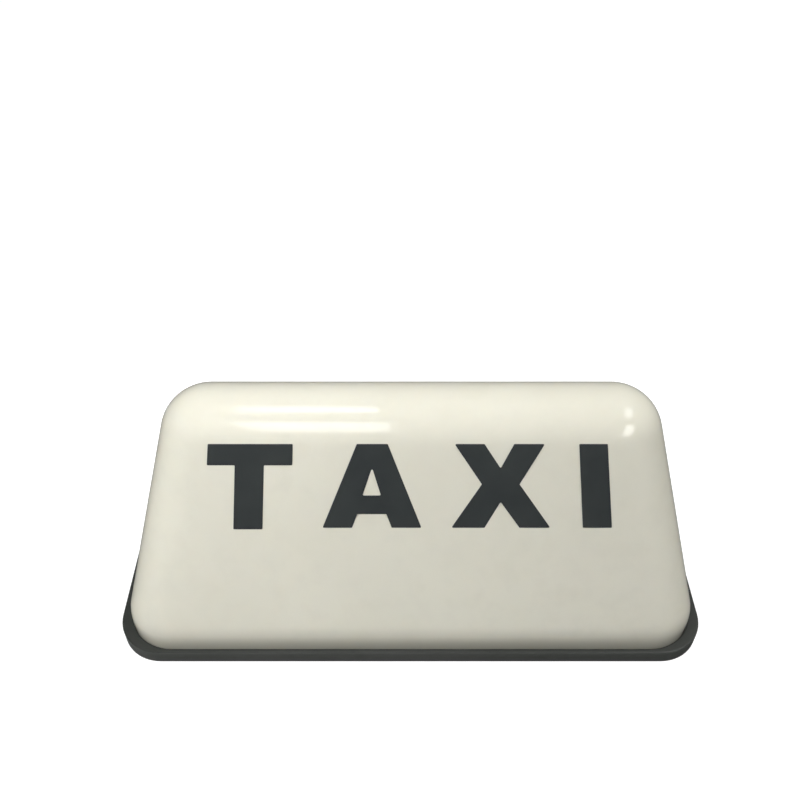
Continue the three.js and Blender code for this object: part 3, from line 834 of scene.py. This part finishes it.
def make_bracket():
    """A folded sheet: an upright web with three windows, and feet turned to the front and to the rear."""
    low, high = node_box("led_bracket")
    foot_top = low.z + SHEET
    web = SHEET / 2
    bm = bmesh.new()
    soft_block(bm, (low.x, -web, low.z), (high.x, web, high.z), 0.25)
    bracket = build("bracket_sheet", bm, [ALUMINIUM])
    feet = []
    cutters = []
    for index in range(1, 5):
        spot = middle_of(f"bracket_screw_{index}")
        side = math.copysign(1, spot.y)
        root = side * (web - 0.01)
        outline = filleted([
            (0, low.z + 0.01, 0), (side * high.y, low.z + 0.01, 0.3), (side * high.y, foot_top, 0.3),
            (root, foot_top, 1.2), (root, foot_top + 3, 0), (0, foot_top + 3, 0),
        ])
        bm = bmesh.new()
        sides = (spot.x - FOOT_HALF, spot.x + FOOT_HALF)
        for end in loft(bm, [[(x, y, z) for y, z in outline] for x in sides]):
            bm.faces.new(end)
        feet.append(build("foot", bm, []))
        cutters.append(rod("screw_hole", SHANK_RADIUS + GAP, spot.x, spot.y, low.z - 1, foot_top + 1, 24))
    for x in WINDOW_MIDDLES:
        bm = bmesh.new()
        block(bm, (x - WINDOW_HALF, -2, WINDOW_LOW), (x + WINDOW_HALF, 2, WINDOW_HIGH))
        upright = [edge for edge in bm.edges if abs(edge.verts[0].co.y - edge.verts[1].co.y) > 1]
        bmesh.ops.bevel(bm, geom=upright, offset=3, segments=6, profile=0.5, affect="EDGES")
        cutters.append(build("window", bm, []))
    boolean(bracket, feet, "UNION")
    boolean(bracket, cutters, "DIFFERENCE")
    smooth_again(bracket)
    place(bracket, "base", "aluminium", "led_bracket")


def painted(bm, material, draw, *shape):
    """Draws a shape in another of the piece's materials."""
    before = set(bm.faces)
    draw(bm, *shape)
    for made in set(bm.faces) - before:
        made.material_index = material


def chip_block(bm, low, high, material):
    painted(bm, material, soft_block, low, high, 0.05, 1)


def make_board(face, side):
    """An LED board with its solder pads and small resistors."""
    low, high = node_box(f"led_board_{face}")
    outer = high.y if side > 0 else low.y
    bm = bmesh.new()
    soft_block(bm, low, high, 0.2)

    def chip(x, z, half_x, half_z, height, material):
        near, far = sorted((outer - side * 0.05, outer + side * height))
        chip_block(bm, (x - half_x, near, z - half_z), (x + half_x, far, z + half_z), material)

    middle = (low.z + high.z) / 2
    for index in range(1, 7):
        spot = middle_of(f"led_{face}_{index}")
        for step in (-1, 0, 1):
            chip(spot.x - 3.3, middle + step * 1.6, 0.7, 0.45, 0.06, 1)
            chip(spot.x + 3.3, middle + step * 1.6, 0.7, 0.45, 0.06, 1)
        if index < 6:
            chip(spot.x + 14.5, middle - 7, 1.0, 0.6, 0.5, 2)
            chip(spot.x + 12.9, middle - 7, 0.45, 0.6, 0.5, 1)
            chip(spot.x + 16.1, middle - 7, 0.45, 0.6, 0.5, 1)
    for z in (low.z + 6, high.z - 6):
        chip(low.x + 4.3, z, 3.6, 1.3, 0.08, 1)
    board = build(f"light_board_{face}", bm, [WHITE_BOARD, SOLDER, CHIP])
    cutters = []
    for index in (1, 2):
        spot = middle_of(f"board_rivet_{index}")
        bm = bmesh.new()
        turned(bm, [(0, -9), (1.9, -9), (1.9, 9), (0, 9)], (spot.x, 0, spot.z), 32, "Y")
        cutters.append(build("rivet_hole", bm, []))
    boolean(board, cutters, "DIFFERENCE")
    smooth_again(board)
    place(board, "base", "white_board", f"led_board_{face}")


def make_led(face, side, index):
    """A white package with a round yellow window."""
    node = f"led_{face}_{index}"
    low, high = node_box(node)
    middle = (low + high) / 2
    half = (high.x - low.x) / 2
    depth = high.y - low.y
    window = half * 0.72
    bm = bmesh.new()
    outline = filleted([
        (0, depth - 0.35, 0), (window * 0.86, depth - 0.35, 0.1), (window, depth, 0.08),
        (window + 0.12, depth, 0),
    ])
    sides = 40
    rings = [circle(radius, height, sides) for radius, height in outline]
    for spread, height in ((half * 0.93, depth), (half * 0.97, depth - 0.08), (half, 0.0)):
        ring = []
        for step in range(sides):
            angle = 2 * math.pi * step / sides
            reach = min(spread / max(abs(math.cos(angle)), abs(math.sin(angle))), spread * 1.36)
            ring.append(Vector((reach * math.cos(angle), reach * math.sin(angle), height)))
        rings.append(ring)
    rows = loft(bm, rings)
    bm.faces.new(rows[-1])
    for made in bm.faces:
        centre = made.calc_center_median()
        if centre.xy.length < window * 0.9 and centre.z > depth - 0.4:
            made.material_index = 1
    base_y = low.y if side > 0 else high.y
    for vertex in bm.verts:
        x, z, out = vertex.co
        vertex.co = (middle.x + x, base_y + side * out, middle.z + z)
    place(build(f"lamp_{face}_{index}", bm, [PACKAGE, PHOSPHOR], 30), "base", "led_phosphor", node)


def make_rivet(index):
    node = f"board_rivet_{index}"
    low, high = node_box(node)
    middle = (low + high) / 2
    head = (high.x - low.x) / 2
    reach = high.y
    rise = 0.9
    outline = [(0, -reach)]
    for step in range(1, 7):
        angle = QUARTER * step / 6
        outline.append((head * math.sin(angle), -reach + rise * (1 - math.cos(angle))))
    outline.append((1.6, -reach + rise))
    outline += [(radius, -height) for radius, height in outline[::-1]]
    bm = bmesh.new()
    turned(bm, outline, (middle.x, 0, middle.z), 32, "Y")
    place(build(f"rivet_{index}", bm, [ALUMINIUM]), "base", "aluminium", node)


def make_screw(node):
    """A pan-head screw with a cross recess."""
    low, high = node_box(node)
    middle = (low + high) / 2
    head = (high.x - low.x) / 2
    seat = high.z - 2
    outline = [(0, low.z), (SHANK_RADIUS * 0.5, low.z), (SHANK_RADIUS * 0.85, low.z + 1)]
    pitch = 0.8
    height = low.z + 1
    while height + pitch < seat:
        outline += [(SHANK_RADIUS * 0.8, height), (SHANK_RADIUS, height + pitch * 0.5)]
        height += pitch
    outline += [(SHANK_RADIUS, seat - 0.1), (SHANK_RADIUS, seat)]
    outline += [tuple(point) for point in filleted([
        (SHANK_RADIUS, seat, 0), (head, seat, 0.15), (head, seat + 1.1, 0.8), (head * 0.55, high.z, 0.8),
        (0, high.z, 0),
    ])[1:]]
    bm = bmesh.new()
    turned(bm, outline, (middle.x, middle.y, 0), 40)
    screw = build(f"fastener_{node}", bm, [ZINC])
    cross = []
    for half_x, half_y in ((1.5, 0.3), (0.3, 1.5)):
        near, far = (middle.x - half_x, middle.y - half_y), (middle.x + half_x, middle.y + half_y)
        cross.append(bar("recess", (*near, high.z - 1.1), (*far, high.z + 1)))
    boolean(screw, cross, "DIFFERENCE")
    smooth_again(screw)
    place(screw, "base", "zinc_steel", node)


# ---- Driver board --------------------------------------------------------------------------------------


def make_driver_board():
    low, high = node_box("driver_board")
    bm = bmesh.new()
    soft_block(bm, low, high, 0.2)

    def chip(x, y, half_x, half_y, height, material):
        near, far = (x - half_x, y - half_y, high.z - 0.05), (x + half_x, y + half_y, high.z + height)
        chip_block(bm, near, far, material)

    middle = (low + high) / 2
    for index in range(5):
        x = middle.x + 9 + (index % 3) * 4.2
        y = middle.y + 10 - (index // 3) * 4
        chip(x, y, 1.0, 0.6, 0.5, 2)
        chip(x - 1.4, y, 0.4, 0.6, 0.5, 1)
        chip(x + 1.4, y, 0.4, 0.6, 0.5, 1)
    for name in ("lead_red", "lead_black"):
        corner = node_box(name)[1]
        chip(corner.x - 0.8, corner.y - 0.8, 1.5, 1.5, 0.1, 1)
    board = build("power_board", bm, [GREEN_BOARD, SOLDER, CHIP])
    cutters = []
    for name in ("driver_screw_1", "driver_screw_2"):
        spot = middle_of(name)
        cutters.append(rod("screw_hole", SHANK_RADIUS + GAP, spot.x, spot.y, low.z - 1, high.z + 1, 24))
    boolean(board, cutters, "DIFFERENCE")
    smooth_again(board)
    place(board, "base", "green_board", "driver_board")


def make_regulator():
    low, high = node_box("driver_regulator")
    bm = bmesh.new()
    soft_block(bm, (low.x, low.y, low.z + 0.2), high, 0.35)
    for step in (-1, 0, 1):
        x = (low.x + high.x) / 2 + step * 2.5
        chip_block(bm, (x - 0.4, low.y + 0.2, low.z), (x + 0.4, high.y - 0.2, low.z + 0.3), 1)
    place(build("regulator_case", bm, [CHIP, SOLDER]), "base", "chip_black", "driver_regulator")


def make_capacitor():
    low, high = node_box("driver_capacitor")
    middle = (low + high) / 2
    radius = (high.x - low.x) / 2
    outline = filleted([
        (0, low.z, 0), (radius, low.z, 0.3), (radius, low.z + 1, 0.2), (radius - 0.25, low.z + 1.3, 0.2),
        (radius, low.z + 1.6, 0.2), (radius, high.z, 0.7), (radius - 0.9, high.z, 0.1),
        (radius - 1, high.z - 0.15, 0.1), (0, high.z - 0.15, 0),
    ])
    bm = bmesh.new()
    turned(bm, outline, (middle.x, middle.y, 0), 40)
    place(build("capacitor_can", bm, [CAN]), "base", "silver_can", "driver_capacitor")


def make_terminal():
    """Terminal block with two screws in wells and two wire entries."""
    low, high = node_box("terminal_block")
    middle = (low + high) / 2
    bm = bmesh.new()
    soft_block(bm, low, high, 0.3)
    body = build("terminal_case", bm, [TERMINAL, ZINC])
    cutters = []
    for pole in (-2.5, 2.5):
        y = middle.y + pole
        cutters.append(rod("well", 1.6, middle.x, y, high.z - 2.5, high.z + 1, 24))
        cutters.append(bar("entry", (low.x - 1, y - 1.3, low.z + 1.5), (middle.x - 1, y + 1.3, low.z + 4.5)))
    boolean(body, cutters, "DIFFERENCE")
    bm = bmesh.new()
    bm.from_mesh(body.data)
    bmesh.ops.scale(bm, verts=bm.verts, vec=(1 / MM,) * 3)
    seat = high.z - 2.5
    screw = [(0, seat - 0.3), (1.45, seat - 0.3), (1.45, seat + 0.7), (1.2, seat + 0.9), (0, seat + 0.9)]
    for pole in (-2.5, 2.5):
        painted(bm, 1, turned, screw, (middle.x, middle.y + pole, 0), 24)
    bpy.data.objects.remove(body)
    place(build("terminal_case", bm, [TERMINAL, ZINC]), "base", "terminal_blue", "terminal_block")


WIRE_RADIUS = 0.8


def make_wire(name, node, route, material, slot):
    """A round insulated wire through the route's points."""
    curve = bpy.data.curves.new(name, "CURVE")
    curve.dimensions = "3D"
    curve.bevel_depth = WIRE_RADIUS * MM
    curve.bevel_resolution = 5
    curve.use_fill_caps = True
    curve.resolution_u = 10
    spline = curve.splines.new("BEZIER")
    spline.bezier_points.add(len(route) - 1)
    for point, spot in zip(spline.bezier_points, route):
        point.co = Vector(spot) * MM
        point.handle_left_type = point.handle_right_type = "AUTO"
    curve.materials.append(material)
    thing = bpy.data.objects.new(name, curve)
    bpy.context.scene.collection.objects.link(thing)
    place(thing, "base", slot, node)


BOARD_LOW, BOARD_HIGH = node_box("led_board_rear")
DRIVER_LOW, DRIVER_HIGH = node_box("driver_board")
REAR_FACE = BOARD_HIGH.y + GAP
PAD_X = BOARD_LOW.x + 6
PAD_RED = BOARD_HIGH.z - 6
PAD_BLACK = BOARD_LOW.z + 6
LEAD_X = DRIVER_LOW.x + 4
DRIVER_Y = (DRIVER_LOW.y + DRIVER_HIGH.y) / 2
PART_BASE = DRIVER_HIGH.z + SEAT


def lead_route(pad_z, start_y):
    return [
        (LEAD_X, start_y, PART_BASE + GAP), (LEAD_X, start_y, PART_BASE + 6),
        (LEAD_X - 9, start_y - 8, PART_BASE + 17), (PAD_X, REAR_FACE + 14, pad_z - 8),
        (PAD_X, REAR_FACE + 6, pad_z), (PAD_X, REAR_FACE, pad_z),
    ]


def link_route(z):
    pad_x = PAD_X - 3.4
    out = node_box("led_bracket")[0].x - 3.5
    return [
        (pad_x, REAR_FACE, z), (pad_x, REAR_FACE + 3, z), (out + 3, REAR_FACE + 4, z), (out, 0, z),
        (out + 3, -REAR_FACE - 4, z), (pad_x, -REAR_FACE - 3, z), (pad_x, -REAR_FACE, z),
    ]


# ---- Studio --------------------------------------------------------------------------------------------


CAMERA_LENS = 41.15
CAMERA_SPOT = (-0.0080, -0.3103, 0.4177)
CAMERA_TILT = 46.28


def make_camera():
    """Stands where the photograph of the upright sign was taken from."""
    data = bpy.data.cameras.new("camera")
    data.lens = CAMERA_LENS
    data.sensor_width = 36
    camera = bpy.data.objects.new("camera", data)
    camera.location = CAMERA_SPOT
    camera.rotation_euler = (math.radians(CAMERA_TILT), 0, 0)
    bpy.context.scene.collection.objects.link(camera)
    bpy.context.scene.camera = camera


STAGE_RADIUS = 5000
FLOOR_DROP = 0.2


def out_of_the_light(thing):
    """Seen by the camera only: it throws no light or shadow on the sign."""
    thing.visible_diffuse = False
    thing.visible_glossy = False
    thing.visible_transmission = False
    thing.visible_shadow = False


def make_floor():
    """White paper that darkens a little where the sign nearly touches it. It is see-through from below."""
    bm = bmesh.new()
    bmesh.ops.create_grid(bm, x_segments=1, y_segments=1, size=STAGE_RADIUS)
    finish = Finish("floor_paper", Roughness=0.9, Emission_Color=srgb(246, 246, 246), Emission_Strength=1.0)
    finish.colour(finish.ramp(finish.noise(4), srgb(142, 142, 142), srgb(148, 148, 148)))
    side = finish.node("NewGeometry")
    clear = finish.node("BsdfTransparent")
    blend = finish.node("MixShader")
    surface = finish.tree.nodes["Material Output"].inputs["Surface"]
    finish.link(side.outputs["Backfacing"], blend.inputs["Fac"])
    finish.link(finish.shader.outputs["BSDF"], blend.inputs[1])
    finish.link(clear.outputs["BSDF"], blend.inputs[2])
    finish.link(blend.outputs["Shader"], surface)
    floor = build("floor", bm, [finish.material])
    floor.location.z = -FLOOR_DROP * MM
    out_of_the_light(floor)


def make_backdrop():
    """A wide white cove round the floor."""
    bm = bmesh.new()
    bmesh.ops.create_uvsphere(bm, u_segments=48, v_segments=24, radius=STAGE_RADIUS)
    finish = Finish("backdrop_paper", Roughness=0.9, Emission_Strength=1.0)
    tone = finish.ramp(finish.noise(0.4), srgb(251, 251, 251), srgb(255, 255, 255))
    finish.link(tone, finish.shader.inputs["Emission Color"])
    finish.shader.inputs["Base Color"].default_value = (0, 0, 0, 1)
    out_of_the_light(build("backdrop", bm, [finish.material], 180))


def make_world():
    """A dim room that lifts the shadows a little, less from below than from above."""
    world = bpy.data.worlds.new("studio")
    world.use_nodes = True
    tree = world.node_tree
    background = tree.nodes["Background"]
    where = tree.nodes.new("ShaderNodeTexCoord")
    split = tree.nodes.new("ShaderNodeSeparateXYZ")
    ramp = tree.nodes.new("ShaderNodeValToRGB")
    height = tree.nodes.new("ShaderNodeMapRange")
    height.inputs["From Min"].default_value = -1
    ramp.color_ramp.elements[0].position = 0.44
    ramp.color_ramp.elements[0].color = (0.06, 0.06, 0.06, 1)
    ramp.color_ramp.elements[1].position = 0.54
    ramp.color_ramp.elements[1].color = (0.1, 0.1, 0.1, 1)
    tree.links.new(where.outputs["Generated"], split.inputs["Vector"])
    tree.links.new(split.outputs["Z"], height.inputs["Value"])
    tree.links.new(height.outputs["Result"], ramp.inputs["Fac"])
    tree.links.new(ramp.outputs["Color"], background.inputs["Color"])
    bpy.context.scene.world = world


def area_light(name, location, size, power, target=None, spread=math.pi, glossy=True, diffuse=True):
    """A rectangular soft light, facing down or towards its target."""
    data = bpy.data.lights.new(name, "AREA")
    data.shape = "RECTANGLE"
    data.size, data.size_y = size
    data.energy = power
    data.spread = spread
    lamp = bpy.data.objects.new(name, data)
    lamp.location = location
    if target is not None:
        lamp.rotation_euler = (Vector(location) - Vector(target)).to_track_quat("Z", "Y").to_euler()
    lamp.visible_camera = False
    lamp.visible_glossy = glossy
    lamp.visible_diffuse = diffuse
    bpy.context.scene.collection.objects.link(lamp)


PANEL_HEIGHT = 1.5
PANEL_GLOW = 15.3
# Reach along X and along Y in metres, share of the glow, and whether the panel lights the body too
PANELS = {
    "panel_left": ((-0.330, -0.043), (-0.045, 0.350), 1.0, True),
    "panel_left_front": ((-0.360, -0.020), (-1.400, -0.595), 1.0, True),
    "panel_right": ((0.590, 1.150), (-0.310, 0.340), 0.9, True),
    "panel_right_front": ((0.740, 1.600), (-2.000, -0.790), 1.2, False),
}
# Target, direction, distance and width in metres, watts, and spread in degrees
FILLS = {
    "left_fill": ((-0.12, 0, 0.08), (-1, -1, 1), 0.9, 0.4, 0.67, 60),
    "top_fill": ((-0.05, 0, 0.1), (-0.2, -0.25, 1), 0.4, 0.2, 0.40, 180),
    "rear_fill": ((0, 0, 0.08), (1, 1, 1), 0.9, 0.5, 2.2, 180),
    "right_fill": ((0.1, 0, 0.06), (1, -0.2, 0.5), 0.8, 0.3, 1.75, 180),
    "under_fill": ((0, 0, 0), (0, 0.4, -1), 0.9, 0.5, 1.8, 90),
}


def make_lights():
    """Four ceiling panels, which show in the gloss, and five soft lights round the sign, which do not.
    The right front panel is for the gloss alone."""
    for name, (along, across, share, diffuse) in PANELS.items():
        size = (along[1] - along[0], across[1] - across[0])
        location = (sum(along) / 2, sum(across) / 2, PANEL_HEIGHT)
        area_light(name, location, size, PANEL_GLOW * share * size[0] * size[1], diffuse=diffuse)
    for name, (target, towards, distance, width, power, spread) in FILLS.items():
        location = Vector(target) + Vector(towards).normalized() * distance
        area_light(name, location, (width, width), power, target, math.radians(spread), False)


# ---- Assembly ------------------------------------------------------------------------------------------

make_camera()
make_dome()
for letter in LETTERS:
    for side_name in ("front", "rear"):
        make_letter(letter, side_name)
make_tray()
make_gasket()
for number in range(1, 5):
    make_plug(number)
make_grommet()
LINER_TOP = node_box("tape_liner")[1].z
FOAM_LOW, FOAM_HIGH = node_box("foam_tape")
make_tape("release_liner", "tape_liner", LINER, "red_liner", liner_ripple, lambda x, y: LINER_TOP)
make_tape("mounting_foam", "foam_tape", FOAM, "grey_foam", lambda x, y: FOAM_LOW.z, lambda x, y: FOAM_HIGH.z)
make_bracket()
for face_name, face_side in (("front", -1), ("rear", 1)):
    make_board(face_name, face_side)
    for number in range(1, 7):
        make_led(face_name, face_side, number)
for number in (1, 2):
    make_rivet(number)
for screw_name in SCREWS:
    make_screw(screw_name)
make_driver_board()
make_regulator()
make_capacitor()
make_terminal()
make_wire("wire_red", "lead_red", lead_route(PAD_RED, DRIVER_Y + 10), RED_WIRE, "red_wire")
make_wire("wire_black", "lead_black", lead_route(PAD_BLACK, DRIVER_Y + 6), BLACK_WIRE, "black_wire")
make_wire("bridge_red", "link_red", link_route(PAD_RED), RED_WIRE, "red_wire")
make_wire("bridge_black", "link_black", link_route(PAD_BLACK), BLACK_WIRE, "black_wire")
make_floor()
make_backdrop()
make_world()
make_lights()
bpy.context.scene.view_settings.view_transform = "Standard"
